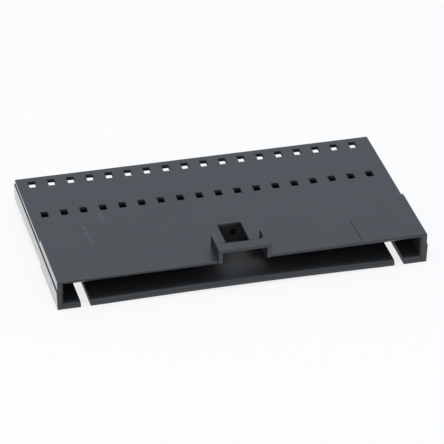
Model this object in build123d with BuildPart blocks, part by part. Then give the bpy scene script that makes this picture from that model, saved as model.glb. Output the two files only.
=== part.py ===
"""Crimp connector housing: one moulded black piece with eighteen ways in one row.

Millimetres. X runs along the row of ways, -Y is the open mouth that takes the mating connector,
+Y is the end where the wires go in, and +Z is up. The origin is under the middle of the housing,
level with the lowest edge of the shroud.
"""

import os

from build123d import *

# The row of ways
ways = 18
pitch = 2.54
row_shift = -0.27

# The body that holds the contacts, with a margin beyond the room of the outermost ways
end_margin = 0.98
body_depth = 26.4
rear_height = 2.9
rear_roof = 0.55
cavity_width = 1.98
cavity_height = 2.0

# The wall between the contacts and the mouth, with an opening for each pin
bulkhead = 1.5
pin_opening = 0.8

# Windows over each way, one near the wire end and one halfway
window_width = 0.94
wire_window_length = 1.5
wire_window_margin = 1.0
lock_window_length = 1.35
lock_window_place = 9.45

# The shroud around the mouth, thicker than the body above and below
shroud_depth = 10.3
shroud_step_up = 0.5
shroud_step_down = 0.72
shroud_roof = 0.6
shroud_floor = 0.78
shroud_end_wall = 0.8
shroud_back_wall = 0.8
lip_bow = 0.25
mouth_lead_in = 0.32

# Two slots in the shroud's floor that only let the mating connector in one way up
slot_inset = 3.57
slot_width = 1.24

# The latch bridge over the mouth, a little proud of it, and the window behind it that the latch drops into
bridge_width = 6.8
bridge_rise = 1.63
bridge_leg = 0.53
bridge_leg_length = 4.0
bridge_overhang = 0.2
bridge_bar_depth = 1.58
bridge_bar_thickness = 0.42
bridge_corner = 0.75
notch_depth = 4.1
latch_window_width = 3.05
latch_window_back = 8.5
latch_window_shift = 0.15

# The ends stand out a little below a line that falls towards the mouth, and draw in again below it
land_step = 0.1
land_drop_wire_end = 0.62
land_drop_mouth = 1.04

# Rounds on the outer corners and edges
corner_radius = 0.15
edge_radius = 0.1

# Sizes, levels and places that follow from those above
body_width = ways * pitch + 2 * end_margin
slot_spacing = body_width - 2 * slot_inset
wire_end = (body_depth + bridge_overhang) / 2
mouth = wire_end - body_depth
bridge_front = mouth - bridge_overhang
step = mouth + shroud_depth
rear_bottom = shroud_step_down
rear_top = rear_bottom + rear_height
shroud_top = rear_top + shroud_step_up
bridge_top = shroud_top + bridge_rise
bridge_bar_bottom = bridge_top - bridge_bar_thickness
cavity_top = rear_top - rear_roof
cavity_middle = cavity_top - cavity_height / 2
mouth_ceiling = shroud_top - shroud_roof
mouth_back = step - shroud_back_wall
bulkhead_back = mouth_back + bulkhead
mouth_width = body_width - 2 * shroud_end_wall
lip_width = slot_spacing - slot_width
passage_width = bridge_width - 2 * bridge_leg
passage_depth = bridge_overhang + notch_depth
land_wire_end = rear_top - land_drop_wire_end
land_mouth = rear_top - land_drop_mouth
land_width = body_width + 2 * land_step
wire_window_y = wire_end - wire_window_margin - wire_window_length / 2
lock_window_y = wire_end - lock_window_place

# Lower part of the body, whose ends draw in towards the bottom
with BuildPart() as lower:
    with BuildSketch(Plane.YZ) as lower_profile:
        Polygon(
            (wire_end, rear_bottom),
            (wire_end, land_wire_end),
            (mouth, land_mouth),
            (mouth, 0),
            (step, 0),
            (step, rear_bottom),
            align=None,
        )
        fillet(lower_profile.vertices().sort_by(Axis.Y)[:-2], corner_radius)
    extrude(amount=land_width, both=True)
    with BuildSketch(Plane.XZ):
        Polygon(
            (-body_width / 2, 0),
            (-land_width / 2, land_mouth),
            (-land_width / 2, rear_top),
            (land_width / 2, rear_top),
            (land_width / 2, land_mouth),
            (body_width / 2, 0),
            align=None,
        )
    extrude(amount=body_depth, both=True, mode=Mode.INTERSECT)

with BuildPart() as housing:
    # Side profile of the whole body, pulled out to both ends
    with BuildSketch(Plane.YZ) as profile:
        Polygon(
            (wire_end, rear_bottom),
            (wire_end, rear_top),
            (step, rear_top),
            (step, shroud_top),
            (mouth, shroud_top),
            (mouth, 0),
            (step, 0),
            (step, rear_bottom),
            align=None,
        )
        fillet(profile.vertices(), corner_radius)
    extrude(amount=body_width / 2, both=True)
    fillet(housing.faces().sort_by(Axis.X)[0].edges(), edge_radius)
    fillet(housing.faces().sort_by(Axis.X)[-1].edges(), edge_radius)
    add(lower.part)

    # Mouth of the shroud, whose floor bows up towards the middle between the two slots
    with BuildSketch(Plane.XZ.offset(-mouth)):
        with BuildLine():
            Line((lip_width / 2, shroud_floor), (mouth_width / 2, shroud_floor))
            Line((mouth_width / 2, shroud_floor), (mouth_width / 2, mouth_ceiling))
            Line((mouth_width / 2, mouth_ceiling), (-mouth_width / 2, mouth_ceiling))
            Line((-mouth_width / 2, mouth_ceiling), (-mouth_width / 2, shroud_floor))
            Line((-mouth_width / 2, shroud_floor), (-lip_width / 2, shroud_floor))
            ThreePointArc((-lip_width / 2, shroud_floor), (0, shroud_floor + lip_bow), (lip_width / 2, shroud_floor))
        make_face()
    extrude(amount=mouth - mouth_back, mode=Mode.SUBTRACT)
    mouth_rim = housing.faces().sort_by(Axis.Y)[0].inner_wires()[0].edges()
    chamfer(mouth_rim, mouth_lead_in)

    # The same bow on the underside of the lip
    with BuildSketch(Plane.XZ.offset(-mouth)):
        with BuildLine():
            ThreePointArc((-lip_width / 2, 0), (0, lip_bow), (lip_width / 2, 0))
            Line((lip_width / 2, 0), (-lip_width / 2, 0))
        make_face()
    extrude(amount=mouth - step, mode=Mode.SUBTRACT)

    # Slots in the floor of the shroud, open at the mouth
    with BuildSketch(Plane.XY):
        with Locations((0, (mouth + mouth_back) / 2)):
            with GridLocations(slot_spacing, 0, 2, 1):
                Rectangle(slot_width, mouth_back - mouth)
    extrude(amount=shroud_floor + lip_bow, mode=Mode.SUBTRACT)

    # Cavities for the crimped contacts, open at the wire end
    with BuildSketch(Plane.XZ.offset(-wire_end)):
        with Locations((row_shift, cavity_middle)):
            with GridLocations(pitch, 0, ways, 1):
                Rectangle(cavity_width, cavity_height)
    extrude(amount=wire_end - bulkhead_back, mode=Mode.SUBTRACT)

    # Openings for the pins, through the wall to the mouth
    with BuildSketch(Plane.XZ.offset(-bulkhead_back)):
        with Locations((row_shift, cavity_middle)):
            with GridLocations(pitch, 0, ways, 1):
                Rectangle(pin_opening, pin_opening)
    extrude(amount=bulkhead, mode=Mode.SUBTRACT)

    # Windows down into the cavities, near the wire end and over the locking tangs
    with BuildSketch(Plane.XY.offset(rear_top)):
        with Locations((row_shift, wire_window_y)):
            with GridLocations(pitch, 0, ways, 1):
                Rectangle(window_width, wire_window_length)
        with Locations((row_shift, lock_window_y)):
            with GridLocations(pitch, 0, ways, 1):
                Rectangle(window_width, lock_window_length)
    extrude(amount=-rear_roof, mode=Mode.SUBTRACT)

    # Block for the bridge, standing on the roof of the shroud
    with BuildSketch(Plane.XY.offset(bridge_top)):
        with Locations((0, bridge_front)):
            Rectangle(bridge_width, bridge_leg_length, align=(Align.CENTER, Align.MIN))
    extrude(amount=mouth_ceiling + mouth_lead_in - bridge_top)

    # Passage under the bar for the mating latch, which goes on through the roof as a notch
    with BuildSketch(Plane.XZ.offset(-bridge_front)):
        with Locations((0, mouth_ceiling)):
            Rectangle(passage_width, bridge_bar_bottom - mouth_ceiling, align=(Align.CENTER, Align.MIN))
    extrude(amount=-passage_depth, mode=Mode.SUBTRACT)

    # Space between the legs behind the bar
    with BuildSketch(Plane.XY.offset(bridge_top)) as bridge_gap:
        with Locations((0, bridge_front + bridge_bar_depth)):
            Rectangle(passage_width, passage_depth - bridge_bar_depth, align=(Align.CENTER, Align.MIN))
        fillet(bridge_gap.vertices().sort_by(Axis.Y)[:2], bridge_corner)
    extrude(amount=-bridge_bar_thickness, mode=Mode.SUBTRACT)

    # Latch window through the roof, open to the notch
    with BuildSketch(Plane.XY.offset(shroud_top)):
        with Locations((latch_window_shift, mouth + notch_depth)):
            Rectangle(latch_window_width, latch_window_back - notch_depth, align=(Align.CENTER, Align.MIN))
    extrude(amount=-shroud_roof, mode=Mode.SUBTRACT)

housing.part.label = "housing"
os.makedirs("parts", exist_ok=True)
export_step(housing.part, "parts/housing.step")
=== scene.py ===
"""Looks of a crimp connector housing: one black moulded piece on a pale studio floor.

Metres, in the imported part's frame: X along the row of ways, -Y the open mouth, +Z up.
"""

import math

import bmesh
import bpy
from mathutils import Matrix, Vector


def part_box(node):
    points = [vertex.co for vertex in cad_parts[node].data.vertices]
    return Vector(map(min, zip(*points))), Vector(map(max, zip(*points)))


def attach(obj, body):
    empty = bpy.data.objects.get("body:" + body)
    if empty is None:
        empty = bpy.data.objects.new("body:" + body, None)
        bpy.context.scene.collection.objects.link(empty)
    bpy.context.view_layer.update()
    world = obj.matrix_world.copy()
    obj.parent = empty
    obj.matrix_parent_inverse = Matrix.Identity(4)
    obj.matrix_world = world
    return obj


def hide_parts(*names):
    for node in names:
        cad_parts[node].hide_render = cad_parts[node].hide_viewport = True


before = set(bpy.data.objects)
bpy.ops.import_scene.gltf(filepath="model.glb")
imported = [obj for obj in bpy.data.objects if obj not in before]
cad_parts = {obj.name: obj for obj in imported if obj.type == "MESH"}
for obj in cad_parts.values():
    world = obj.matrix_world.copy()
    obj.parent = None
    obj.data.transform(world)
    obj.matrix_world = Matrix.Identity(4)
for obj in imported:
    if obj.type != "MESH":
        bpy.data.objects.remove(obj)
bpy.context.view_layer.update()

MM = 0.001

# Small rounds on sharp edges, away from the two ends and where the edges that they meet leave room
MERGE_DISTANCE = 0.001 * MM
ROUND_WIDTH = 0.05 * MM
ROUND_SEGMENTS = 2
ROUND_ROOM = 0.15 * MM
ROUND_ANGLE = math.radians(40)
BENT_ANGLE = math.radians(5)
CREASE_ANGLE = math.radians(50)
END_ZONE = 0.3 * MM

# Level of the shroud's flat roof
SHROUD_TOP = 4.12 * MM

# Witness line on the roof of the shroud, right of the bridge
WITNESS_LINE_X = 15.33 * MM
WITNESS_LINE_WIDTH = 0.09 * MM
WITNESS_LINE_REAR = -7.83 * MM
WITNESS_LINE_FRONT = -12.75 * MM
WITNESS_LINE_DEPTH = 0.1 * MM

# Pale scuffs on the top: place of the middle, half width in X and half length in Y
SCUFFS = (
    ((-17.72 * MM, -2.85 * MM), 0.34 * MM, 3.3 * MM),
    ((-15.0 * MM, 1.15 * MM), 0.30 * MM, 1.3 * MM),
    ((22.05 * MM, -5.2 * MM), 0.35 * MM, 0.06 * MM),
    ((21.8 * MM, -7.9 * MM), 0.05 * MM, 0.8 * MM),
)
SCUFF_COLOUR = (0.11, 0.115, 0.12, 1)
SCUFF_LEVEL = 3.5 * MM
SCUFF_LEVEL_BLEND = 0.05 * MM

# Shares of the half sizes inside which a scuff is whole, and the pattern that breaks it up
SCUFF_FULL_WIDTH = 0.5
SCUFF_FULL_LENGTH = 0.8
SCUFF_SCALE = 5200
SCUFF_BREAKS = (0.54, 0.62)

# Patterns in the plastic, with scales in waves for each metre, and the weights that join them
CLOUD_SCALE = 110
FLOW_SCALE = 260
FLOW_SQUEEZE = (1, 0.25, 1)
MOTTLE_SCALE = 2200
GRAIN_SCALE = 9000
GRAIN_ROUGHNESS = 0.6
TONE_WEIGHTS = (0.5, 0.3, 0.2)
SHEEN_WEIGHTS = (0.5, 0.5)
HEIGHT_WEIGHTS = (0.7, 0.3)
PATTERN_RANGE = (0.3, 0.7)
GRAIN_STRENGTH = 0.35
GRAIN_DEPTH = 0.006 * MM

# Dust specks, in a few of the cells of a pattern
SPECK_SCALE = 900
SPECK_EDGE = (0.10, 0.05)
SPECK_CHOICE = (0.965, 0.97)
SPECK_STRENGTH = 0.5
SPECK_COLOUR = (0.2, 0.2, 0.2, 1)

# Finishes of the black plastic: finely matt outside, smoother on the two ends, rough inside, where the
# mould's cores were, and there painted in lighter tones, as painted light in place of light that the lamps
# don't bring into the mouth and the cavities, and on side walls as rough as inside but as dark as outside.
# Each has its darkest and lightest tone, least and most roughness, specular level, and the weight and
# roughness of its skin.
PLASTIC_IOR = 1.4
OUTSIDE = {
    "dark": (0.012, 0.015, 0.018, 1),
    "light": (0.020, 0.023, 0.027, 1),
    "roughness": (0.40, 0.48),
    "gloss": 0.5,
    "skin": 0.9,
    "skin_roughness": 0.36,
}
ENDS = {**OUTSIDE, "roughness": (0.20, 0.28), "gloss": 0.7, "skin": 1.0, "skin_roughness": 0.10}
# The inside's lighter tones are painted light: the same plastic, painted lighter where the lamps don't
# bring light into the mouth and the cavities
INSIDE_PAINTED_LIGHTER = {
    "dark": (0.031, 0.032, 0.033, 1),
    "light": (0.044, 0.045, 0.046, 1),
    "roughness": (0.55, 0.65),
    "gloss": 0.3,
    "skin": 0.1,
    "skin_roughness": 0.10,
}
WALLS = {**INSIDE_PAINTED_LIGHTER, "dark": OUTSIDE["dark"], "light": OUTSIDE["light"]}
FINISHES = {
    "black_plastic": OUTSIDE,
    "black_plastic_ends": ENDS,
    "black_plastic_inside_painted_lighter": INSIDE_PAINTED_LIGHTER,
    "black_plastic_walls": WALLS,
}
OUTSIDE_SLOT, ENDS_SLOT, INSIDE_PAINTED_LIGHTER_SLOT, WALLS_SLOT = range(len(FINISHES))

# Faces that look along X more than this are side walls. Beyond this place they belong to the ends.
SIDE_WALL_TILT = 0.9
END_PLACE = 23.4 * MM

# Lowest and highest corner of the room inside: the mouth with the cavities
CORE_ROOMS = ((Vector((-23.3, -12.8, 0.5)) * MM, Vector((23.3, 13.2, 3.55)) * MM),)

# The same for side walls with their own finish: the slots in the floor, and the legs of the bridge
SIDE_WALL_ROOMS = (
    (Vector((-23.3, -13.2, -0.1)) * MM, Vector((23.3, -3.0, 0.8)) * MM),
    (Vector((-3.6, -13.4, 4.1)) * MM, Vector((3.6, -9.0, 5.8)) * MM),
)

# Camera, from the places of the windows in the photograph, with its lens and sensor in mm
CAMERA_FOCAL = 259.17
CAMERA_SENSOR = 36
CAMERA_NEAR = 10 * MM
CAMERA_FAR = 20000 * MM
CAMERA_AZIMUTH = math.radians(-14.902)
CAMERA_ELEVATION = math.radians(31.395)
CAMERA_ROLL = math.radians(-0.6)
CAMERA_AIM = Vector((-0.265, 11.838, 3.62)) * MM
CAMERA_DISTANCE = 418.309 * MM
CAMERA_RIGHT = 3.705 * MM
CAMERA_UP = -7.690 * MM

# Floor
FLOOR_SIZE = 4000 * MM
FLOOR_DROP = 0.01 * MM
FLOOR_COLOUR = (0.9, 0.9, 0.9, 1)
FLOOR_TOOTH_SCALE = 900
FLOOR_TOOTH_STRENGTH = 0.1
FLOOR_TOOTH_DEPTH = 0.05 * MM
FLOOR_WHITE_SHARE = 0.8
WHITE = (1, 1, 1, 1)

# Light: the world's colour and its strengths as it lights and as it is seen, and the key light
WORLD_COLOUR = (0.89, 0.99, 1.10, 1)
WORLD_FILL = 0.55
WORLD_WHITE = 0.70
KEY_PLACE = Vector((-80, -80, 600)) * MM
KEY_SIZE = 350 * MM
KEY_POWER = 1.8


def new_tree(owner):
    """Empty node tree of a material or world, ready to be filled."""
    owner.use_nodes = True
    owner.node_tree.nodes.clear()
    return owner.node_tree


def add_node(tree, kind, inputs=None, **settings):
    """Node with its settings and its inputs, each a value or another node's output."""
    node = tree.nodes.new(kind)
    for name, value in settings.items():
        setattr(node, name, value)
    for name, value in (inputs or {}).items():
        if isinstance(value, bpy.types.NodeSocket):
            tree.links.new(value, node.inputs[name])
        else:
            node.inputs[name].default_value = value
    return node


def noise(tree, place, scale, detail=2, roughness=0.5, squeeze=(1, 1, 1)):
    """Value of a noise over the piece's own coordinates, from 0 to 1, stretched where squeeze is small."""
    mapped = add_node(tree, "ShaderNodeMapping", {"Vector": place, "Scale": squeeze})
    pattern = add_node(
        tree,
        "ShaderNodeTexNoise",
        {"Vector": mapped.outputs["Vector"], "Scale": scale, "Detail": detail, "Roughness": roughness},
    )
    return pattern.outputs["Fac"]


def spread(tree, value, low, high, to_low=0.0, to_high=1.0):
    """Value between low and high, spread to the range that follows and held inside it."""
    mapped = add_node(
        tree,
        "ShaderNodeMapRange",
        {"Value": value, "From Min": low, "From Max": high, "To Min": to_low, "To Max": to_high},
    )
    return mapped.outputs["Result"]


def calculated(tree, operation, *values):
    """Result of one operation on one or two values."""
    result = add_node(tree, "ShaderNodeMath", dict(enumerate(values)), operation=operation)
    return result.outputs["Value"]


def weighted_sum(tree, values, weights):
    """Sum of values, each times its weight."""
    total = 0.0
    for value, weight in zip(values, weights):
        total = calculated(tree, "ADD", total, calculated(tree, "MULTIPLY", value, weight))
    return total


def mixed(tree, share, first, second):
    """Colour between two colours, by the share of the second."""
    mix = add_node(tree, "ShaderNodeMix", {"Factor": share, "A": first, "B": second}, data_type="RGBA")
    return mix.outputs["Result"]


def white_rays(tree):
    """1 for rays that meet plain white: from the camera, mirrored or through clear things. 0 for others."""
    path = add_node(tree, "ShaderNodeLightPath")
    seen = calculated(tree, "MAXIMUM", path.outputs["Is Camera Ray"], path.outputs["Is Glossy Ray"])
    return calculated(tree, "MAXIMUM", seen, path.outputs["Is Transmission Ray"])


def apart(tree, value, middle):
    """How far a value is from a middle value, whichever side it is on."""
    return calculated(tree, "ABSOLUTE", calculated(tree, "SUBTRACT", value, middle))


def scuffs(tree, place):
    """1 on the pale scuffs of the top, broken up into specks, and 0 elsewhere."""
    axes = add_node(tree, "ShaderNodeSeparateXYZ", {"Vector": place})
    covered = 0.0
    for (x, y), half_width, half_length in SCUFFS:
        full_width, full_length = half_width * SCUFF_FULL_WIDTH, half_length * SCUFF_FULL_LENGTH
        across = spread(tree, apart(tree, axes.outputs["X"], x), half_width, full_width)
        along = spread(tree, apart(tree, axes.outputs["Y"], y), half_length, full_length)
        covered = calculated(tree, "MAXIMUM", calculated(tree, "MULTIPLY", across, along), covered)
    on_top = spread(tree, axes.outputs["Z"], SCUFF_LEVEL, SCUFF_LEVEL + SCUFF_LEVEL_BLEND)
    broken = spread(tree, noise(tree, place, SCUFF_SCALE), *SCUFF_BREAKS)
    return calculated(tree, "MULTIPLY", calculated(tree, "MULTIPLY", covered, on_top), broken)


def dust(tree, place):
    """1 on a few small round specks, and 0 elsewhere."""
    cells = add_node(tree, "ShaderNodeTexVoronoi", {"Vector": place, "Scale": SPECK_SCALE})
    draw = add_node(tree, "ShaderNodeSeparateColor", {"Color": cells.outputs["Color"]})
    round_spot = spread(tree, cells.outputs["Distance"], *SPECK_EDGE)
    chosen = spread(tree, draw.outputs["Red"], *SPECK_CHOICE)
    return calculated(tree, "MULTIPLY", round_spot, chosen)


def black_plastic(name, finish):
    """Moulded black plastic: cloudy tone, flow marks, matt grain, dust specks and pale scuffs."""
    material = bpy.data.materials.new(name)
    tree = new_tree(material)
    place = add_node(tree, "ShaderNodeTexCoord").outputs["Object"]

    clouds = noise(tree, place, CLOUD_SCALE, detail=3)
    flow = noise(tree, place, FLOW_SCALE, squeeze=FLOW_SQUEEZE)
    grain = noise(tree, place, GRAIN_SCALE, detail=3, roughness=GRAIN_ROUGHNESS)
    mottle = noise(tree, place, MOTTLE_SCALE)

    tone = weighted_sum(tree, (clouds, flow, mottle), TONE_WEIGHTS)
    colour = mixed(tree, spread(tree, tone, *PATTERN_RANGE), finish["dark"], finish["light"])
    dusted = calculated(tree, "MULTIPLY", dust(tree, place), SPECK_STRENGTH)
    colour = mixed(tree, dusted, colour, SPECK_COLOUR)
    colour = mixed(tree, scuffs(tree, place), colour, SCUFF_COLOUR)

    sheen = weighted_sum(tree, (mottle, clouds), SHEEN_WEIGHTS)
    height = weighted_sum(tree, (grain, mottle), HEIGHT_WEIGHTS)
    bump = add_node(
        tree, "ShaderNodeBump", {"Height": height, "Strength": GRAIN_STRENGTH, "Distance": GRAIN_DEPTH}
    )
    surface = add_node(
        tree,
        "ShaderNodeBsdfPrincipled",
        {
            "Base Color": colour,
            "Roughness": spread(tree, sheen, *PATTERN_RANGE, *finish["roughness"]),
            "IOR": PLASTIC_IOR,
            "Specular IOR Level": finish["gloss"],
            "Coat Weight": finish["skin"],
            "Coat Roughness": finish["skin_roughness"],
            "Coat IOR": PLASTIC_IOR,
            "Normal": bump.outputs["Normal"],
        },
    )
    add_node(tree, "ShaderNodeOutputMaterial", {"Surface": surface.outputs["BSDF"]})
    return material


def pale_floor():
    """Pale matt floor that the camera and mirrored rays see nearly white, with the shadow kept."""
    material = bpy.data.materials.new("pale_floor")
    tree = new_tree(material)
    place = add_node(tree, "ShaderNodeTexCoord").outputs["Object"]
    tooth = noise(tree, place, FLOOR_TOOTH_SCALE)
    bump = add_node(
        tree,
        "ShaderNodeBump",
        {"Height": tooth, "Strength": FLOOR_TOOTH_STRENGTH, "Distance": FLOOR_TOOTH_DEPTH},
    )
    paper = add_node(
        tree, "ShaderNodeBsdfDiffuse", {"Color": FLOOR_COLOUR, "Normal": bump.outputs["Normal"]}
    )
    white = add_node(tree, "ShaderNodeEmission", {"Color": WHITE, "Strength": 1})
    share = calculated(tree, "MULTIPLY", white_rays(tree), FLOOR_WHITE_SHARE)
    surface = add_node(
        tree, "ShaderNodeMixShader", {0: share, 1: paper.outputs["BSDF"], 2: white.outputs["Emission"]}
    )
    add_node(tree, "ShaderNodeOutputMaterial", {"Surface": surface.outputs["Shader"]})
    return material


def white_world():
    """World that lights softly from all round and is plain and pale where it is seen or mirrored."""
    world = bpy.data.worlds.new("studio_white")
    tree = new_tree(world)
    strength = spread(tree, white_rays(tree), 0, 1, WORLD_FILL, WORLD_WHITE)
    background = add_node(tree, "ShaderNodeBackground", {"Color": WORLD_COLOUR, "Strength": strength})
    add_node(tree, "ShaderNodeOutputWorld", {"Surface": background.outputs["Background"]})
    bpy.context.scene.world = world


def link(thing):
    """Object of the scene, linked so that it shows."""
    bpy.context.scene.collection.objects.link(thing)
    return thing


def takes_round(edge, end_place):
    """Whether an edge is sharp, away from the ends, and meets only edges that leave room."""
    if edge.calc_face_angle() < ROUND_ANGLE:
        return False
    for corner in edge.verts:
        if abs(corner.co.x) > end_place:
            return False
        for other in corner.link_edges:
            if other.calc_face_angle() > BENT_ANGLE and other.calc_length() < ROUND_ROOM:
                return False
    return True


def roof_faces(shape):
    """Faces that lie in the flat roof of the shroud."""
    return [
        face
        for face in shape.faces
        if all(abs(corner.co.z - SHROUD_TOP) < MERGE_DISTANCE for corner in face.verts)
    ]


def press_witness_line(shape):
    """Narrow straight groove in the flat roof of the shroud."""
    west = WITNESS_LINE_X - WITNESS_LINE_WIDTH / 2
    east = WITNESS_LINE_X + WITNESS_LINE_WIDTH / 2
    cuts = (
        ((west, 0, 0), (1, 0, 0)),
        ((east, 0, 0), (1, 0, 0)),
        ((0, WITNESS_LINE_FRONT, 0), (0, 1, 0)),
        ((0, WITNESS_LINE_REAR, 0), (0, 1, 0)),
    )
    for point, normal in cuts:
        roof = roof_faces(shape)
        edges = dict.fromkeys(edge for face in roof for edge in face.edges)
        corners = dict.fromkeys(corner for face in roof for corner in face.verts)
        bmesh.ops.bisect_plane(shape, geom=[*corners, *edges, *roof], plane_co=point, plane_no=normal)
    strip = [
        face
        for face in roof_faces(shape)
        if west < face.calc_center_median().x < east
        and WITNESS_LINE_FRONT < face.calc_center_median().y < WITNESS_LINE_REAR
    ]
    sunk = bmesh.ops.extrude_face_region(shape, geom=strip)
    corners = [item for item in sunk["geom"] if isinstance(item, bmesh.types.BMVert)]
    bmesh.ops.translate(shape, verts=corners, vec=(0, 0, -WITNESS_LINE_DEPTH))
    bmesh.ops.delete(shape, geom=strip, context="FACES")
    # The cuts leave the faces in an order that changes from run to run, so they are sorted by place
    by_place = sorted(shape.faces, key=lambda face: face.calc_center_median()[:])
    for number, face in enumerate(by_place):
        face.index = number
    shape.faces.sort()


def in_rooms(place, rooms):
    """Whether a place is inside one of some rooms, each given by its lowest and highest corners."""
    return any(
        all(least < part < most for least, part, most in zip(low, place, high)) for low, high in rooms
    )


def finish_slot(face):
    """Slot of the finish that a face has."""
    place = face.calc_center_median()
    side_wall = abs(face.normal.x) > SIDE_WALL_TILT
    if side_wall and in_rooms(place, SIDE_WALL_ROOMS):
        return WALLS_SLOT
    # Faces in the mouth and the cavities take the inside finish, whose lighter tone is painted light
    if in_rooms(place, CORE_ROOMS):
        return INSIDE_PAINTED_LIGHTER_SLOT
    return ENDS_SLOT if side_wall and abs(place.x) > END_PLACE else OUTSIDE_SLOT


def rounded_copy(node, name):
    """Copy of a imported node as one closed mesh, with small rounds along its sharp edges."""
    low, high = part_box(node.name)
    shape = bmesh.new()
    shape.from_mesh(node.data)
    bmesh.ops.remove_doubles(shape, verts=shape.verts, dist=MERGE_DISTANCE)
    bmesh.ops.bevel(
        shape,
        geom=[edge for edge in shape.edges if takes_round(edge, high.x - END_ZONE)],
        offset=ROUND_WIDTH,
        offset_type="OFFSET",
        segments=ROUND_SEGMENTS,
        profile=0.5,
        affect="EDGES",
        clamp_overlap=False,
        loop_slide=False,
        material=-1,
    )
    for corner in shape.verts:
        corner.co = [min(max(place, least), most) for place, least, most in zip(corner.co, low, high)]
    press_witness_line(shape)
    for face in shape.faces:
        face.smooth = True
        face.material_index = finish_slot(face)
    for edge in shape.edges:
        edge.smooth = edge.calc_face_angle() < CREASE_ANGLE
    mesh = bpy.data.meshes.new(name)
    shape.to_mesh(mesh)
    shape.free()
    piece = link(bpy.data.objects.new(name, mesh))
    flats = piece.modifiers.new("flats", "WEIGHTED_NORMAL")
    flats.keep_sharp = True
    return piece


def make_floor():
    """Large floor, just under the piece."""
    shape = bmesh.new()
    bmesh.ops.create_grid(shape, x_segments=1, y_segments=1, size=FLOOR_SIZE / 2)
    bmesh.ops.translate(shape, verts=shape.verts, vec=(0, 0, -FLOOR_DROP))
    mesh = bpy.data.meshes.new("floor")
    shape.to_mesh(mesh)
    shape.free()
    floor = link(bpy.data.objects.new("floor", mesh))
    floor.data.materials.append(pale_floor())


def make_camera():
    """Camera at the photograph's distance, angle and frame."""
    right = Vector((math.cos(CAMERA_AZIMUTH), math.sin(CAMERA_AZIMUTH), 0))
    back = Vector((
        math.sin(CAMERA_AZIMUTH) * math.cos(CAMERA_ELEVATION),
        -math.cos(CAMERA_AZIMUTH) * math.cos(CAMERA_ELEVATION),
        math.sin(CAMERA_ELEVATION),
    ))
    up = back.cross(right)
    across = math.cos(CAMERA_ROLL) * right - math.sin(CAMERA_ROLL) * up
    along = math.sin(CAMERA_ROLL) * right + math.cos(CAMERA_ROLL) * up
    place = CAMERA_AIM + CAMERA_DISTANCE * back + CAMERA_RIGHT * across + CAMERA_UP * along

    lens = bpy.data.cameras.new("photo_camera")
    lens.lens = CAMERA_FOCAL
    lens.sensor_width = CAMERA_SENSOR
    lens.sensor_fit = "HORIZONTAL"
    lens.clip_start = CAMERA_NEAR
    lens.clip_end = CAMERA_FAR
    camera = link(bpy.data.objects.new("photo_camera", lens))
    turn = Matrix((across, along, back)).transposed().to_4x4()
    camera.matrix_world = Matrix.Translation(place) @ turn
    bpy.context.scene.camera = camera


def make_light():
    """Large soft light, high up and a little to the front left."""
    lamp = bpy.data.lights.new("key_light", "AREA")
    lamp.shape = "DISK"
    lamp.size = KEY_SIZE
    lamp.energy = KEY_POWER
    light = link(bpy.data.objects.new("key_light", lamp))
    light.location = KEY_PLACE
    light.rotation_euler = KEY_PLACE.to_track_quat("Z", "Y").to_euler()


housing = rounded_copy(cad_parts["housing"], "housing_shell")
for name, finish in FINISHES.items():
    housing.data.materials.append(black_plastic(name, finish))
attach(housing, "root")
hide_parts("housing")

make_floor()
white_world()
make_light()
make_camera()
bpy.context.scene.view_settings.view_transform = "Standard"
